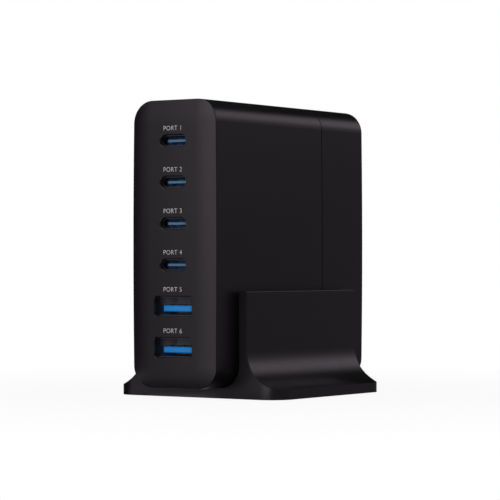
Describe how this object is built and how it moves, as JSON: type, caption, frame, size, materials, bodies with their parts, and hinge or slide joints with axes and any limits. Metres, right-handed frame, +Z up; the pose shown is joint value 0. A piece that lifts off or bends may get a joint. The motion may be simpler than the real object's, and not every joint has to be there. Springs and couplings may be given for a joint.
{
  "type": "multi port usb desktop charger",
  "caption": "Upright desktop charger with a column of oval and rectangular power sockets in its cushioned face, standing in a flared cradle stand.",
  "frame": {"origin": "on the table under the middle of the charger", "axes": "+Z up, the port face looks along -Y, +X is to the right of someone facing the ports"},
  "size_m": [0.059, 0.0808, 0.0869],
  "materials": {
    "body_plastic": "fine satin",
    "stand_plastic": "fine satin",
    "pad_rubber": "matt",
    "board": "solder mask",
    "chip_plastic": "moulded",
    "ferrite": "sintered",
    "can_metal": "drawn",
    "winding_tape": "taped",
    "disc_coating": "dipped",
    "filter_box": "moulded",
    "copper": "enamelled",
    "thermal_rubber": "matt",
    "spreader_metal": "rolled",
    "film": "satin",
    "inlet_plastic": "moulded",
    "pin_metal": "plated",
    "wire_sleeve": "matt",
    "can_sleeve": "sleeved",
    "socket_steel": "plated",
    "tongue_blue": "moulded",
    "contact_metal": "plated"
  },
  "bodies": {
    "root": {"bridge_rectifier": "chip_plastic", "bulk_capacitor_1": "can_sleeve", "bulk_capacitor_2": "can_sleeve", "filter_capacitor": "filter_box", "front_shell": "body_plastic", "fuse": "chip_plastic", "heat_spreader": "spreader_metal", "inlet_body": "inlet_plastic", "inlet_pins": "pin_metal", "inlet_wires": "wire_sleeve", "insulating_film": "film", "line_choke_core": "ferrite", "line_choke_windings": "copper", "main_board": "board", "output_capacitors": "can_metal", "output_coils": "ferrite", "port_board": "board", "port_controllers": "chip_plastic", "rear_shell": "body_plastic", "rectifier_chips": "chip_plastic", "safety_capacitor": "disc_coating", "stand": "stand_plastic", "stand_pad": "pad_rubber", "switch_chips": "chip_plastic", "thermal_pad": "thermal_rubber", "transformer_core": "ferrite", "transformer_former": "chip_plastic", "transformer_winding": "winding_tape", "type_a_contacts_1": "contact_metal", "type_a_contacts_2": "contact_metal", "type_a_insert_1": "tongue_blue", "type_a_insert_2": "tongue_blue", "type_a_shell_1": "socket_steel", "type_a_shell_2": "socket_steel", "type_c_contacts_1": "contact_metal", "type_c_contacts_2": "contact_metal", "type_c_contacts_3": "contact_metal", "type_c_contacts_4": "contact_metal", "type_c_insert_1": "tongue_blue", "type_c_insert_2": "tongue_blue", "type_c_insert_3": "tongue_blue", "type_c_insert_4": "tongue_blue", "type_c_shell_1": "socket_steel", "type_c_shell_2": "socket_steel", "type_c_shell_3": "socket_steel", "type_c_shell_4": "socket_steel"}
  },
  "joints": []
}
